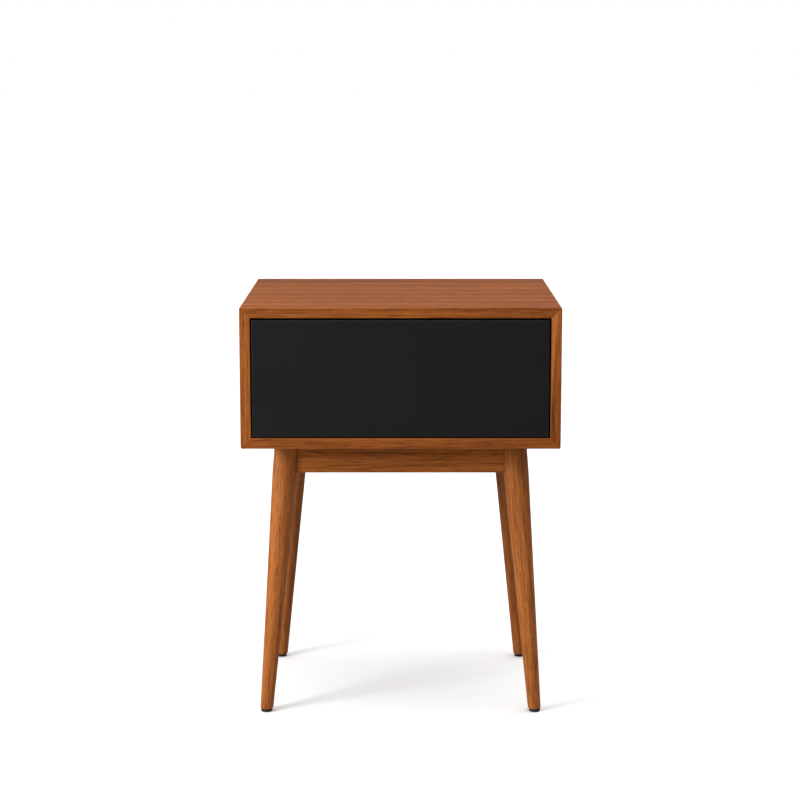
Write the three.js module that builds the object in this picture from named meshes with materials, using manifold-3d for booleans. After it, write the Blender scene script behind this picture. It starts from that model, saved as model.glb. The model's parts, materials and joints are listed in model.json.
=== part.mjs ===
// Nightstand: a mitred wooden case with one flush push-to-open drawer, on a base of four splayed,
// tapered round legs joined by aprons. Millimetres, +Z up. The origin is on the floor under the
// middle of the case, the drawer opens towards -Y, and -X is the left side seen from the front.

import * as THREE from "three";
import { mergeVertices } from "three/addons/utils/BufferGeometryUtils.js";
import Module from "manifold-3d";

// ---- Driving dimensions -------------------------------------------------------------------

const JOINT_GAP = 0.3; // between pieces that are scribed, housed or turned against each other
const CUT_MARGIN = 5; // how far a cutter runs past the face that it opens

// Case
const OVERALL_HEIGHT = 612;
const CASE_WIDTH = 460;
const CASE_DEPTH = 400;
const CASE_HEIGHT = 204;
const PANEL = 15;
const BACK_THICKNESS = 6;
const BACK_RECESS = 6; // rear edges of the case to the outside of the back panel
const BACK_GROOVE_DEPTH = 6;

// Base
const LEG_RADIUS = 18.5;
const FOOT_RADIUS = 9.4;
const LEG_TOP_X = 167; // leg axis at the underside of the case
const LEG_TOP_Y = 113;
const LEG_SPLAY = 33; // how far the axis moves outwards, in X and in Y, from there to the floor
const BACK_LEG_INSET = 6; // the back pair stands this much nearer the middle on each side
const LEG_SEGMENTS = 24;
const APRON_HEIGHT = 50;
const APRON_THICKNESS = 18;
const TENON_THICKNESS = 8;
const TENON_SHOULDER = 7; // above and below each tenon
const TENON_TO_LEG_AXIS = 6.5;
const BLOCK_HEIGHT = 35;
const BLOCK_NEAR = 16; // where the block's clipped corner starts, from the inner corner of the aprons
const BLOCK_FAR = 56;
const BLOCK_SCREW_OFFSET = 19;

// Glides under the feet
const GLIDE_RADIUS = 8.25;
const GLIDE_HEIGHT = 4;
const GLIDE_EDGE_RADIUS = 2;
const GLIDE_PIN_RADIUS = 1.25;
const GLIDE_PIN_LENGTH = 14;
const GLIDE_EDGE_STEPS = 2;
const DISC_SEGMENTS = 16;

// Drawer front
const FRONT_THICKNESS = 16;
const FRONT_RECESS = 1; // behind the front edges of the case
const REVEAL_SIDE = 2.25;
const REVEAL_TOP = 2.75;
const REVEAL_BOTTOM = 1.5;

// Drawer box
const BOX_WALL = 12;
const BOX_DEPTH = 350;
const BOX_HEIGHT = 126;
const BOX_LIFT = 12; // above the bottom panel
const BOX_BOTTOM_THICKNESS = 6;
const BOX_BOTTOM_LIFT = 10; // above the lower edges of the box
const BOX_GROOVE_DEPTH = 5;
const DRAWER_TRAVEL = 300;

// Ball-bearing slides. Across: distance from the side panel. Up: distance from the slide's axis.
const SLIDE_THICKNESS = 13;
const SLIDE_AXIS_LIFT = 58; // above the bottom panel
const SLIDE_SETBACK = 4; // back of the drawer front to the slide, more than the push on the latch
const SLIDE_END_GAP = 1; // rear end of the slide to the end of the drawer box
const STEEL = 1.25;
const CASE_MEMBER = { web: 0, rim: 8.5, half: 22.5, lip: 2.75 };
const MIDDLE_MEMBER = { web: 3.5, rim: 11, half: 16.25, lip: 2.75 };
const DRAWER_MEMBER = { across: 6.75, half: 10.5 };
const CAGE_STEEL = 0.75;
const CAGE_LENGTH = 120;
const BALLS_PER_ROW = 5;
const BALL_SEGMENTS = 6;
const BALL_RINGS = 4;
const BALL_PITCH = 25;
const CASE_CAGE = { web: 2, rim: 6.25, ballAcross: 4.25, ballUp: 18.75, ballRadius: 2.25 };
const DRAWER_CAGE = { web: 5.25, rim: 9.25, ballAcross: 7.25, ballUp: 12.75, ballRadius: 2 };
const SLIDE_SCREW_INSET = 36; // from each end of a slide member

// Push latch under the top panel
const LATCH_BODY_WIDTH = 18;
const LATCH_BODY_HEIGHT = 14;
const LATCH_BODY_LENGTH = 52;
const LATCH_SETBACK = 10; // back of the drawer front to the front of the latch body
const LATCH_EAR_THICKNESS = 3;
const LATCH_EAR_SPAN = 38;
const LATCH_EAR_LENGTH = 26;
const LATCH_SCREW_X = 14;
const LATCH_BORE_DEPTH = 40;
const PLUNGER_RADIUS = 4;
const PLUNGER_LENGTH = 40;
const PLUNGER_TIP_GAP = 0.25;
const STRIKE_RADIUS = 6;
const STRIKE_THICKNESS = 1.5;
const STRIKE_PIN_RADIUS = 1.5;
const STRIKE_PIN_LENGTH = 6;

// Screws: radii of head and shank, the head's height, and the overall length below the head
const BASE_SCREW = { head: 5, shank: 2.25, headHeight: 3, length: 47 };
const FRONT_SCREW = { head: 4.5, shank: 2, headHeight: 2.25, length: 22 };
const LATCH_SCREW = { head: 3.25, shank: 1.5, headHeight: 2, length: 13 };
const SLIDE_SCREW = { head: 3.5, shank: 1.75, headHeight: 2.25, length: 10 };
const SCREW_SEGMENTS = 12;
const SCREW_POINT = 3;
const FRONT_SCREW_X = 130;
const FRONT_SCREW_UP = [30, 96]; // above the lower edge of the box

// ---- Places worked out from the sizes above -----------------------------------------------

const CASE_BOTTOM = OVERALL_HEIGHT - CASE_HEIGHT;
const FLOOR_TOP = CASE_BOTTOM + PANEL; // upper face of the bottom panel
const CEILING = OVERALL_HEIGHT - PANEL; // lower face of the top panel
const HALF_WIDTH = CASE_WIDTH / 2;
const HALF_DEPTH = CASE_DEPTH / 2;
const INNER_HALF = HALF_WIDTH - PANEL;
const FRONT_FACE = -HALF_DEPTH + FRONT_RECESS;
const FRONT_BACK = FRONT_FACE + FRONT_THICKNESS;
const BOX_END = FRONT_BACK + BOX_DEPTH;
const BOX_HALF = INNER_HALF - SLIDE_THICKNESS;
const BOX_INNER_HALF = BOX_HALF - BOX_WALL;
const BOX_LOW = FLOOR_TOP + BOX_LIFT;
const BOX_TOP = BOX_LOW + BOX_HEIGHT;
const SLIDE_FRONT = FRONT_BACK + SLIDE_SETBACK;
const SLIDE_BACK = BOX_END - SLIDE_END_GAP;
const SLIDE_AXIS = FLOOR_TOP + SLIDE_AXIS_LIFT;
const APRON_LOW = CASE_BOTTOM - APRON_HEIGHT;
const BASE_TOP = CASE_BOTTOM - JOINT_GAP;
const LATCH_AXIS = CEILING - LATCH_BODY_HEIGHT / 2;
const LATCH_FRONT = FRONT_BACK + LATCH_SETBACK;
const SIDES = { left: -1, right: 1 };
const ENDS = { front: -1, back: 1 };

// ---- Finishes -----------------------------------------------------------------------------

const FINISHES = {
  walnut: { color: "#96582f", roughness: 0.5, metalness: 0 },
  blackPaint: { color: "#1f1f1f", roughness: 0.6, metalness: 0 },
  plywood: { color: "#cfab7c", roughness: 0.6, metalness: 0 },
  beech: { color: "#b98a58", roughness: 0.65, metalness: 0 },
  zinc: { color: "#aeb2b4", roughness: 0.35, metalness: 1 },
  bearing: { color: "#d6d8da", roughness: 0.15, metalness: 1 },
  blackPlastic: { color: "#141414", roughness: 0.5, metalness: 0 },
  greyPlastic: { color: "#8b8d8e", roughness: 0.5, metalness: 0 },
};

// ---- Solids -------------------------------------------------------------------------------

const manifold = await Module();
manifold.setup();

function toSolid(geometry) {
  const bare = geometry.clone();
  bare.deleteAttribute("normal");
  bare.deleteAttribute("uv");
  const merged = mergeVertices(bare);
  return new manifold.Manifold(
    new manifold.Mesh({
      numProp: 3,
      vertProperties: merged.attributes.position.array,
      triVerts: Uint32Array.from(merged.index.array),
    }),
  );
}

function toGeometry(solid) {
  const mesh = solid.getMesh();
  const geometry = new THREE.BufferGeometry();
  geometry.setAttribute("position", new THREE.BufferAttribute(mesh.vertProperties, 3));
  geometry.setIndex(new THREE.BufferAttribute(mesh.triVerts, 1));
  return geometry;
}

function cut(body, cutters) {
  const cutOne = (solid, cutter) => solid.subtract(toSolid(cutter));
  return toGeometry(cutters.reduce(cutOne, toSolid(body)));
}

function join(body, additions) {
  const joinOne = (solid, addition) => solid.add(toSolid(addition));
  return toGeometry(additions.reduce(joinOne, toSolid(body)));
}

function keepInside(body, envelope) {
  return toGeometry(toSolid(body).intersect(toSolid(envelope)));
}

// A box between two values on each axis.
function box([xLow, xHigh], [yLow, yHigh], [zLow, zHigh]) {
  const geometry = new THREE.BoxGeometry(xHigh - xLow, yHigh - yLow, zHigh - zLow);
  return geometry.translate((xLow + xHigh) / 2, (yLow + yHigh) / 2, (zLow + zHigh) / 2);
}

// A prism whose outline lies in the XZ plane.
function prismAlongY(outline, [yLow, yHigh]) {
  const shape = new THREE.Shape(outline.map(([x, z]) => new THREE.Vector2(x, z)));
  const geometry = new THREE.ExtrudeGeometry(shape, { depth: yHigh - yLow, bevelEnabled: false });
  const stand = new THREE.Matrix4().makeBasis(
    new THREE.Vector3(1, 0, 0),
    new THREE.Vector3(0, 0, 1),
    new THREE.Vector3(0, -1, 0),
  );
  return geometry.applyMatrix4(stand).translate(0, yHigh, 0);
}

// A solid of revolution. The profile lists [along, radius] and starts and ends on the axis; the
// axis starts at origin and points along direction.
function turned(profile, segments, origin, direction) {
  const points = profile.map(([along, radius]) => new THREE.Vector2(radius, along));
  const geometry = new THREE.LatheGeometry(points, segments);
  const helper = Math.abs(direction.z) > 0.5 ? new THREE.Vector3(1, 0, 0) : new THREE.Vector3(0, 0, 1);
  const side = new THREE.Vector3().crossVectors(direction, helper).normalize();
  const third = new THREE.Vector3().crossVectors(side, direction);
  const frame = new THREE.Matrix4().makeBasis(side, direction, third);
  return geometry.applyMatrix4(frame).translate(origin.x, origin.y, origin.z);
}

function bore(origin, direction, radius, depth) {
  const profile = [[0, 0], [0, radius], [depth, radius], [depth, 0]];
  return turned(profile, SCREW_SEGMENTS, origin, direction);
}

const RIGHT = new THREE.Vector3(1, 0, 0);
const FORWARD = new THREE.Vector3(0, -1, 0);
const UP = new THREE.Vector3(0, 0, 1);

// ---- Scene graph --------------------------------------------------------------------------

const nightstand = new THREE.Group();

function assembly(name) {
  const group = new THREE.Group();
  group.name = name;
  nightstand.add(group);
  return group;
}

function addPiece(group, name, geometry, finish) {
  const mesh = new THREE.Mesh(geometry, new THREE.MeshStandardMaterial(FINISHES[finish]));
  mesh.name = name;
  group.add(mesh);
  return mesh;
}

// ---- Screws -------------------------------------------------------------------------------

// A pan-head screw whose head rests at origin and whose shank runs along direction.
function panScrew(size, origin, direction) {
  const profile = [
    [-size.headHeight, 0],
    [-size.headHeight, size.head * 0.6],
    [-size.headHeight * 0.5, size.head],
    [0, size.head],
    [0, size.shank],
    [size.length - SCREW_POINT, size.shank],
    [size.length, 0],
  ];
  return turned(profile, SCREW_SEGMENTS, origin, direction);
}

// A flat-head screw whose head is flush at origin.
function flatScrew(size, origin, direction) {
  const profile = [
    [0, 0],
    [0, size.head],
    [size.headHeight, size.shank],
    [size.length - SCREW_POINT, size.shank],
    [size.length, 0],
  ];
  return turned(profile, SCREW_SEGMENTS, origin, direction);
}

// The hole for a screw's shank, from just above the face at origin.
function shankHole(size, origin, direction, depth = size.length + JOINT_GAP) {
  const start = origin.clone().addScaledVector(direction, -CUT_MARGIN);
  return bore(start, direction, size.shank + JOINT_GAP, depth + CUT_MARGIN);
}

// The wider hole that lets a flat head sink in.
function headHole(size, origin, direction) {
  const start = origin.clone().addScaledVector(direction, -CUT_MARGIN);
  return bore(start, direction, size.head + JOINT_GAP, size.headHeight + JOINT_GAP + CUT_MARGIN);
}

// ---- Base: where everything meets the legs ------------------------------------------------

function legCentreAt(height, side, end) {
  const fall = (CASE_BOTTOM - height) / CASE_BOTTOM;
  const inset = end === ENDS.back ? BACK_LEG_INSET : 0;
  return new THREE.Vector3(
    side * (LEG_TOP_X - inset + LEG_SPLAY * fall),
    end * (LEG_TOP_Y + LEG_SPLAY * fall),
    height,
  );
}

// The round, tapered envelope of one leg, longer than the leg at both ends.
function legEnvelope(side, end, growth) {
  const foot = legCentreAt(0, side, end);
  const axis = legCentreAt(CASE_BOTTOM, side, end).sub(foot);
  const stretch = axis.length() / CASE_BOTTOM;
  const excess = 2 * LEG_RADIUS;
  const profile = [
    [-excess, 0],
    [-excess, FOOT_RADIUS + growth],
    [0, FOOT_RADIUS + growth],
    [APRON_LOW * stretch, LEG_RADIUS + growth],
    [CASE_BOTTOM * stretch + excess, LEG_RADIUS + growth],
    [CASE_BOTTOM * stretch + excess, 0],
  ];
  return turned(profile, LEG_SEGMENTS, foot, axis.normalize());
}

// An apron runs between two legs, each given as [side, end].
const APRON_RUNS = {
  apron_front: [[SIDES.left, ENDS.front], [SIDES.right, ENDS.front]],
  apron_back: [[SIDES.left, ENDS.back], [SIDES.right, ENDS.back]],
  apron_left: [[SIDES.left, ENDS.front], [SIDES.left, ENDS.back]],
  apron_right: [[SIDES.right, ENDS.front], [SIDES.right, ENDS.back]],
};

// A bar on the line between two legs at the height of the aprons, shortened at both ends.
function barBetween([first, second], shorten, thickness, [zLow, zHigh]) {
  const middle = (APRON_LOW + CASE_BOTTOM) / 2;
  const start = legCentreAt(middle, ...first);
  const finish = legCentreAt(middle, ...second);
  const run = finish.clone().sub(start);
  const half = run.length() / 2 - shorten;
  const geometry = box([-half, half], [-thickness / 2, thickness / 2], [zLow, zHigh]);
  const centre = start.add(finish).multiplyScalar(0.5);
  return geometry.rotateZ(Math.atan2(run.y, run.x)).translate(centre.x, centre.y, 0);
}

function tenonBar(run, growth) {
  return barBetween(run, TENON_TO_LEG_AXIS - growth, TENON_THICKNESS + 2 * growth, [
    APRON_LOW + TENON_SHOULDER - growth,
    CASE_BOTTOM - TENON_SHOULDER + growth,
  ]);
}

function apron(run) {
  const board = barBetween(run, 0, APRON_THICKNESS, [APRON_LOW, BASE_TOP]);
  const scribes = run.map(([side, end]) => legEnvelope(side, end, JOINT_GAP));
  return join(cut(board, scribes), [tenonBar(run, 0)]);
}

function leg(side, end) {
  const reach = CASE_WIDTH;
  const heights = [GLIDE_HEIGHT + JOINT_GAP, BASE_TOP];
  const trimmed = keepInside(legEnvelope(side, end, 0), box([-reach, reach], [-reach, reach], heights));
  const meetsLeg = ([runSide, runEnd]) => runSide === side && runEnd === end;
  const runs = Object.values(APRON_RUNS).filter((run) => run.some(meetsLeg));
  const pinHole = bore(
    legCentreAt(0, side, end),
    UP,
    GLIDE_PIN_RADIUS + JOINT_GAP,
    GLIDE_HEIGHT + GLIDE_PIN_LENGTH + JOINT_GAP,
  );
  return cut(trimmed, [...runs.map((run) => tenonBar(run, JOINT_GAP)), pinHole]);
}

// A nail-on glide: a disc with a rounded lower edge and a pin that goes up into the leg.
function glide(side, end) {
  const flatRadius = GLIDE_RADIUS - GLIDE_EDGE_RADIUS;
  const profile = [[0, 0]];
  for (let step = 0; step <= GLIDE_EDGE_STEPS; step += 1) {
    const angle = (Math.PI / 2) * (step / GLIDE_EDGE_STEPS);
    const up = GLIDE_EDGE_RADIUS * (1 - Math.cos(angle));
    profile.push([up, flatRadius + GLIDE_EDGE_RADIUS * Math.sin(angle)]);
  }
  profile.push([GLIDE_HEIGHT, GLIDE_RADIUS]);
  profile.push([GLIDE_HEIGHT, GLIDE_PIN_RADIUS]);
  profile.push([GLIDE_HEIGHT + GLIDE_PIN_LENGTH, 0]);
  return turned(profile, DISC_SEGMENTS, legCentreAt(0, side, end), UP);
}

// Plan directions from a leg along its two aprons, and the corner where their inner faces meet.
function apronCorner(side, end, setOff) {
  const middle = (APRON_LOW + CASE_BOTTOM) / 2;
  const centre = legCentreAt(middle, side, end);
  const across = legCentreAt(middle, -side, end).sub(centre).normalize();
  const along = legCentreAt(middle, side, -end).sub(centre).normalize();
  const sine = new THREE.Vector3().crossVectors(across, along).length();
  const offset = (APRON_THICKNESS / 2 + setOff) / sine;
  const corner = centre.addScaledVector(across, offset).addScaledVector(along, offset);
  return { corner, across, along };
}

function blockScrewPoint(side, end) {
  const { corner, across, along } = apronCorner(side, end, 0);
  corner.addScaledVector(across, BLOCK_SCREW_OFFSET).addScaledVector(along, BLOCK_SCREW_OFFSET);
  return corner.setZ(BASE_TOP - BLOCK_HEIGHT);
}

// A triangular block in the corner of two aprons, clipped where the leg comes through.
function cornerBlock(side, end) {
  const { corner, across, along } = apronCorner(side, end, JOINT_GAP);
  const outline = [
    corner.clone().addScaledVector(across, BLOCK_NEAR),
    corner.clone().addScaledVector(across, BLOCK_FAR),
    corner.clone().addScaledVector(along, BLOCK_FAR),
    corner.clone().addScaledVector(along, BLOCK_NEAR),
  ];
  const shape = new THREE.Shape(outline.map((point) => new THREE.Vector2(point.x, point.y)));
  const block = new THREE.ExtrudeGeometry(shape, { depth: BLOCK_HEIGHT, bevelEnabled: false });
  block.translate(0, 0, BASE_TOP - BLOCK_HEIGHT);
  return cut(block, [shankHole(BASE_SCREW, blockScrewPoint(side, end), UP)]);
}

// ---- Case ---------------------------------------------------------------------------------

const BACK_FACE = HALF_DEPTH - BACK_RECESS;

// The space that holds the back panel: its own box, grown all round.
function backPanelBox(growth) {
  const x = INNER_HALF + BACK_GROOVE_DEPTH + growth;
  return box(
    [-x, x],
    [BACK_FACE - BACK_THICKNESS - growth, BACK_FACE + growth],
    [FLOOR_TOP - BACK_GROOVE_DEPTH - growth, CEILING + BACK_GROOVE_DEPTH + growth],
  );
}

// One of the four mitred boards: its outer corners, then its inner corners.
function mitredBoard(outline, cutters) {
  const board = prismAlongY(outline, [-HALF_DEPTH, HALF_DEPTH]);
  return cut(board, [backPanelBox(JOINT_GAP), ...cutters]);
}

function horizontalBoard(outer, inner, cutters) {
  return mitredBoard(
    [[-HALF_WIDTH, outer], [HALF_WIDTH, outer], [INNER_HALF, inner], [-INNER_HALF, inner]],
    cutters,
  );
}

function uprightBoard(side, cutters) {
  return mitredBoard(
    [
      [side * HALF_WIDTH, CASE_BOTTOM],
      [side * HALF_WIDTH, OVERALL_HEIGHT],
      [side * INNER_HALF, CEILING],
      [side * INNER_HALF, FLOOR_TOP],
    ],
    cutters,
  );
}

// ---- Slides -------------------------------------------------------------------------------

// A point of a slide's section: across from the side panel, and up from the slide's axis.
function slidePoint(side, across, up) {
  return [side * (INNER_HALF - across), SLIDE_AXIS + up];
}

// A channel open towards the drawer, whose rims end in lips that keep the balls in.
function lippedChannel(side, { web, rim, half, lip }) {
  const upper = [
    [web, half],
    [rim, half],
    [rim, half - lip],
    [rim - STEEL, half - lip],
    [rim - STEEL, half - STEEL],
    [web + STEEL, half - STEEL],
  ];
  const lower = upper.map(([across, up]) => [across, -up]).reverse();
  const outline = [...upper, ...lower].map(([across, up]) => slidePoint(side, across, up));
  return prismAlongY(outline, [SLIDE_FRONT, SLIDE_BACK]);
}

// The channel on the drawer, open towards the case.
function drawerChannel(side) {
  const { across, half } = DRAWER_MEMBER;
  const upper = [
    [SLIDE_THICKNESS, half],
    [across, half],
    [across, half - STEEL],
    [SLIDE_THICKNESS - STEEL, half - STEEL],
  ];
  const lower = upper.map(([a, up]) => [a, -up]).reverse();
  const outline = [...upper, ...lower].map(([a, up]) => slidePoint(side, a, up));
  return prismAlongY(outline, [SLIDE_FRONT, SLIDE_BACK]);
}

// A ball cage: a thin channel whose two rims carry a row of balls each.
function ballCage(side, { web, rim, ballAcross, ballUp, ballRadius }) {
  const top = ballUp + CAGE_STEEL / 2;
  const upper = [
    [web, top],
    [rim, top],
    [rim, top - CAGE_STEEL],
    [web + CAGE_STEEL, top - CAGE_STEEL],
  ];
  const lower = upper.map(([across, up]) => [across, -up]).reverse();
  const outline = [...upper, ...lower].map(([across, up]) => slidePoint(side, across, up));
  const middle = (SLIDE_FRONT + SLIDE_BACK) / 2;
  const strip = prismAlongY(outline, [middle - CAGE_LENGTH / 2, middle + CAGE_LENGTH / 2]);
  const balls = [];
  for (const row of [-1, 1]) {
    for (let index = 0; index < BALLS_PER_ROW; index += 1) {
      const ball = new THREE.SphereGeometry(ballRadius, BALL_SEGMENTS, BALL_RINGS);
      const [x, z] = slidePoint(side, ballAcross, row * ballUp);
      balls.push(ball.translate(x, middle + BALL_PITCH * (index - (BALLS_PER_ROW - 1) / 2), z));
    }
  }
  return join(strip, balls);
}

// Screw places of one slide: the head's point, seen from the side that the screw is driven from.
function slideScrewPoints(side, across) {
  const [x] = slidePoint(side, across, 0);
  return {
    front: new THREE.Vector3(x, SLIDE_FRONT + SLIDE_SCREW_INSET, SLIDE_AXIS),
    rear: new THREE.Vector3(x, SLIDE_BACK - SLIDE_SCREW_INSET, SLIDE_AXIS),
  };
}

// The screws that hold the case member point outwards, and those of the drawer member inwards.
const caseScrewPoints = (side) => slideScrewPoints(side, STEEL);
const drawerScrewPoints = (side) => slideScrewPoints(side, SLIDE_THICKNESS - STEEL);
const outwards = (side) => RIGHT.clone().multiplyScalar(side);
const inwards = (side) => RIGHT.clone().multiplyScalar(-side);

function flatScrewHoles(points, direction) {
  return Object.values(points).flatMap((point) => [
    shankHole(SLIDE_SCREW, point, direction),
    headHole(SLIDE_SCREW, point, direction),
  ]);
}

// ---- Push latch ---------------------------------------------------------------------------

function latchScrewPoint(side) {
  const y = LATCH_FRONT + LATCH_BODY_LENGTH / 2;
  return new THREE.Vector3(side * LATCH_SCREW_X, y, CEILING - LATCH_EAR_THICKNESS);
}

function latchHousing() {
  const halfWidth = LATCH_BODY_WIDTH / 2;
  const length = [LATCH_FRONT, LATCH_FRONT + LATCH_BODY_LENGTH];
  const body = box([-halfWidth, halfWidth], length, [CEILING - LATCH_BODY_HEIGHT, CEILING]);
  const middle = LATCH_FRONT + LATCH_BODY_LENGTH / 2;
  const ears = box(
    [-LATCH_EAR_SPAN / 2, LATCH_EAR_SPAN / 2],
    [middle - LATCH_EAR_LENGTH / 2, middle + LATCH_EAR_LENGTH / 2],
    [CEILING - LATCH_EAR_THICKNESS, CEILING],
  );
  const backwards = FORWARD.clone().negate();
  const mouth = new THREE.Vector3(0, LATCH_FRONT - CUT_MARGIN, LATCH_AXIS);
  const plungerBore = bore(mouth, backwards, PLUNGER_RADIUS + JOINT_GAP, LATCH_BORE_DEPTH + CUT_MARGIN);
  const screwHoles = Object.values(SIDES).map((side) => shankHole(LATCH_SCREW, latchScrewPoint(side), UP));
  return cut(join(body, [ears]), [plungerBore, ...screwHoles]);
}

function latchPlunger() {
  const tip = FRONT_BACK + STRIKE_THICKNESS + PLUNGER_TIP_GAP;
  const origin = new THREE.Vector3(0, tip + PLUNGER_LENGTH, LATCH_AXIS);
  const profile = [
    [0, 0],
    [0, PLUNGER_RADIUS],
    [PLUNGER_LENGTH - 1, PLUNGER_RADIUS],
    [PLUNGER_LENGTH, PLUNGER_RADIUS - 1],
    [PLUNGER_LENGTH, 0],
  ];
  return turned(profile, SCREW_SEGMENTS, origin, FORWARD);
}

// The strike is a steel disc with a pin that is pressed into the back of the drawer front.
function strikePlate() {
  const origin = new THREE.Vector3(0, FRONT_BACK + STRIKE_THICKNESS, LATCH_AXIS);
  const profile = [
    [0, 0],
    [0, STRIKE_RADIUS],
    [STRIKE_THICKNESS, STRIKE_RADIUS],
    [STRIKE_THICKNESS, STRIKE_PIN_RADIUS],
    [STRIKE_THICKNESS + STRIKE_PIN_LENGTH, STRIKE_PIN_RADIUS],
    [STRIKE_THICKNESS + STRIKE_PIN_LENGTH, 0],
  ];
  return turned(profile, DISC_SEGMENTS, origin, FORWARD);
}

// ---- Drawer -------------------------------------------------------------------------------

function frontScrewPoints() {
  const [low, high] = FRONT_SCREW_UP;
  const place = (x, up) => new THREE.Vector3(x, FRONT_BACK + BOX_WALL, BOX_LOW + up);
  return {
    lower_left: place(-FRONT_SCREW_X, low),
    lower_right: place(FRONT_SCREW_X, low),
    upper_left: place(-FRONT_SCREW_X, high),
    upper_right: place(FRONT_SCREW_X, high),
  };
}

const frontScrewHoles = () =>
  Object.values(frontScrewPoints()).map((point) => shankHole(FRONT_SCREW, point, FORWARD));

function drawerFront() {
  const half = INNER_HALF - REVEAL_SIDE;
  const heights = [FLOOR_TOP + REVEAL_BOTTOM, CEILING - REVEAL_TOP];
  const board = box([-half, half], [FRONT_FACE, FRONT_BACK], heights);
  const pinHole = bore(
    new THREE.Vector3(0, FRONT_BACK + CUT_MARGIN, LATCH_AXIS),
    FORWARD,
    STRIKE_PIN_RADIUS + JOINT_GAP,
    CUT_MARGIN + STRIKE_PIN_LENGTH + JOINT_GAP,
  );
  return cut(board, [...frontScrewHoles(), pinHole]);
}

// The drawer's bottom panel, grown all round where it is the groove that holds it.
function boxBottom(growth) {
  const x = BOX_INNER_HALF + BOX_GROOVE_DEPTH + growth;
  const low = BOX_LOW + BOX_BOTTOM_LIFT;
  return box(
    [-x, x],
    [FRONT_BACK + BOX_WALL - BOX_GROOVE_DEPTH - growth, BOX_END - BOX_WALL + BOX_GROOVE_DEPTH + growth],
    [low - growth, low + BOX_BOTTOM_THICKNESS + growth],
  );
}

function boxSide(side) {
  const faces = [side * BOX_INNER_HALF, side * BOX_HALF].sort((a, b) => a - b);
  const board = box(faces, [FRONT_BACK, BOX_END], [BOX_LOW, BOX_TOP]);
  return cut(board, [boxBottom(JOINT_GAP), ...flatScrewHoles(drawerScrewPoints(side), inwards(side))]);
}

function boxCrossWall(y, cutters) {
  const board = box([-BOX_INNER_HALF, BOX_INNER_HALF], y, [BOX_LOW, BOX_TOP]);
  return cut(board, [boxBottom(JOINT_GAP), ...cutters]);
}

// ---- Assembly -----------------------------------------------------------------------------

function buildCase() {
  const group = assembly("case");
  const latchHoles = Object.values(SIDES).map((side) => shankHole(LATCH_SCREW, latchScrewPoint(side), UP));
  const baseHoles = Object.values(SIDES).flatMap((side) =>
    Object.values(ENDS).map((end) => shankHole(BASE_SCREW, blockScrewPoint(side, end), UP)),
  );
  addPiece(group, "top_panel", horizontalBoard(OVERALL_HEIGHT, CEILING, latchHoles), "walnut");
  addPiece(group, "bottom_panel", horizontalBoard(CASE_BOTTOM, FLOOR_TOP, baseHoles), "walnut");
  for (const [name, side] of Object.entries(SIDES)) {
    const holes = flatScrewHoles(caseScrewPoints(side), outwards(side));
    addPiece(group, `${name}_side_panel`, uprightBoard(side, holes), "walnut");
  }
  addPiece(group, "back_panel", backPanelBox(0), "walnut");
}

function buildBase() {
  const group = assembly("base");
  for (const [sideName, side] of Object.entries(SIDES)) {
    for (const [endName, end] of Object.entries(ENDS)) {
      const place = `${endName}_${sideName}`;
      addPiece(group, `leg_${place}`, leg(side, end), "walnut");
      addPiece(group, `glide_${place}`, glide(side, end), "blackPlastic");
      addPiece(group, `corner_block_${place}`, cornerBlock(side, end), "beech");
      addPiece(group, `base_screw_${place}`, panScrew(BASE_SCREW, blockScrewPoint(side, end), UP), "zinc");
    }
  }
  for (const [name, run] of Object.entries(APRON_RUNS)) {
    addPiece(group, name, apron(run), "walnut");
  }
}

function buildSlides() {
  const group = assembly("slides");
  for (const [name, side] of Object.entries(SIDES)) {
    const caseHoles = flatScrewHoles(caseScrewPoints(side), outwards(side));
    const drawerHoles = flatScrewHoles(drawerScrewPoints(side), inwards(side));
    addPiece(group, `slide_case_member_${name}`, cut(lippedChannel(side, CASE_MEMBER), caseHoles), "zinc");
    addPiece(group, `slide_middle_member_${name}`, lippedChannel(side, MIDDLE_MEMBER), "zinc");
    addPiece(group, `slide_drawer_member_${name}`, cut(drawerChannel(side), drawerHoles), "zinc");
    addPiece(group, `outer_ball_cage_${name}`, ballCage(side, CASE_CAGE), "bearing");
    addPiece(group, `inner_ball_cage_${name}`, ballCage(side, DRAWER_CAGE), "bearing");
    for (const [place, point] of Object.entries(caseScrewPoints(side))) {
      const screw = flatScrew(SLIDE_SCREW, point, outwards(side));
      addPiece(group, `case_slide_screw_${name}_${place}`, screw, "zinc");
    }
    for (const [place, point] of Object.entries(drawerScrewPoints(side))) {
      const screw = flatScrew(SLIDE_SCREW, point, inwards(side));
      addPiece(group, `drawer_slide_screw_${name}_${place}`, screw, "zinc");
    }
  }
}

function buildLatch() {
  const group = assembly("latch");
  addPiece(group, "latch_housing", latchHousing(), "greyPlastic");
  addPiece(group, "latch_plunger", latchPlunger(), "greyPlastic");
  addPiece(group, "strike_plate", strikePlate(), "zinc");
  for (const [name, side] of Object.entries(SIDES)) {
    addPiece(group, `latch_screw_${name}`, panScrew(LATCH_SCREW, latchScrewPoint(side), UP), "zinc");
  }
}

function buildDrawer() {
  const group = assembly("drawer");
  addPiece(group, "drawer_front", drawerFront(), "blackPaint");
  const frontWall = boxCrossWall([FRONT_BACK, FRONT_BACK + BOX_WALL], frontScrewHoles());
  addPiece(group, "drawer_box_front", frontWall, "plywood");
  addPiece(group, "drawer_box_back", boxCrossWall([BOX_END - BOX_WALL, BOX_END], []), "plywood");
  addPiece(group, "drawer_box_bottom", boxBottom(0), "plywood");
  for (const [name, side] of Object.entries(SIDES)) {
    addPiece(group, `drawer_box_side_${name}`, boxSide(side), "plywood");
  }
  for (const [place, point] of Object.entries(frontScrewPoints())) {
    addPiece(group, `front_screw_${place}`, panScrew(FRONT_SCREW, point, FORWARD), "zinc");
  }
}

buildCase();
buildBase();
buildSlides();
buildLatch();
buildDrawer();

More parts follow.
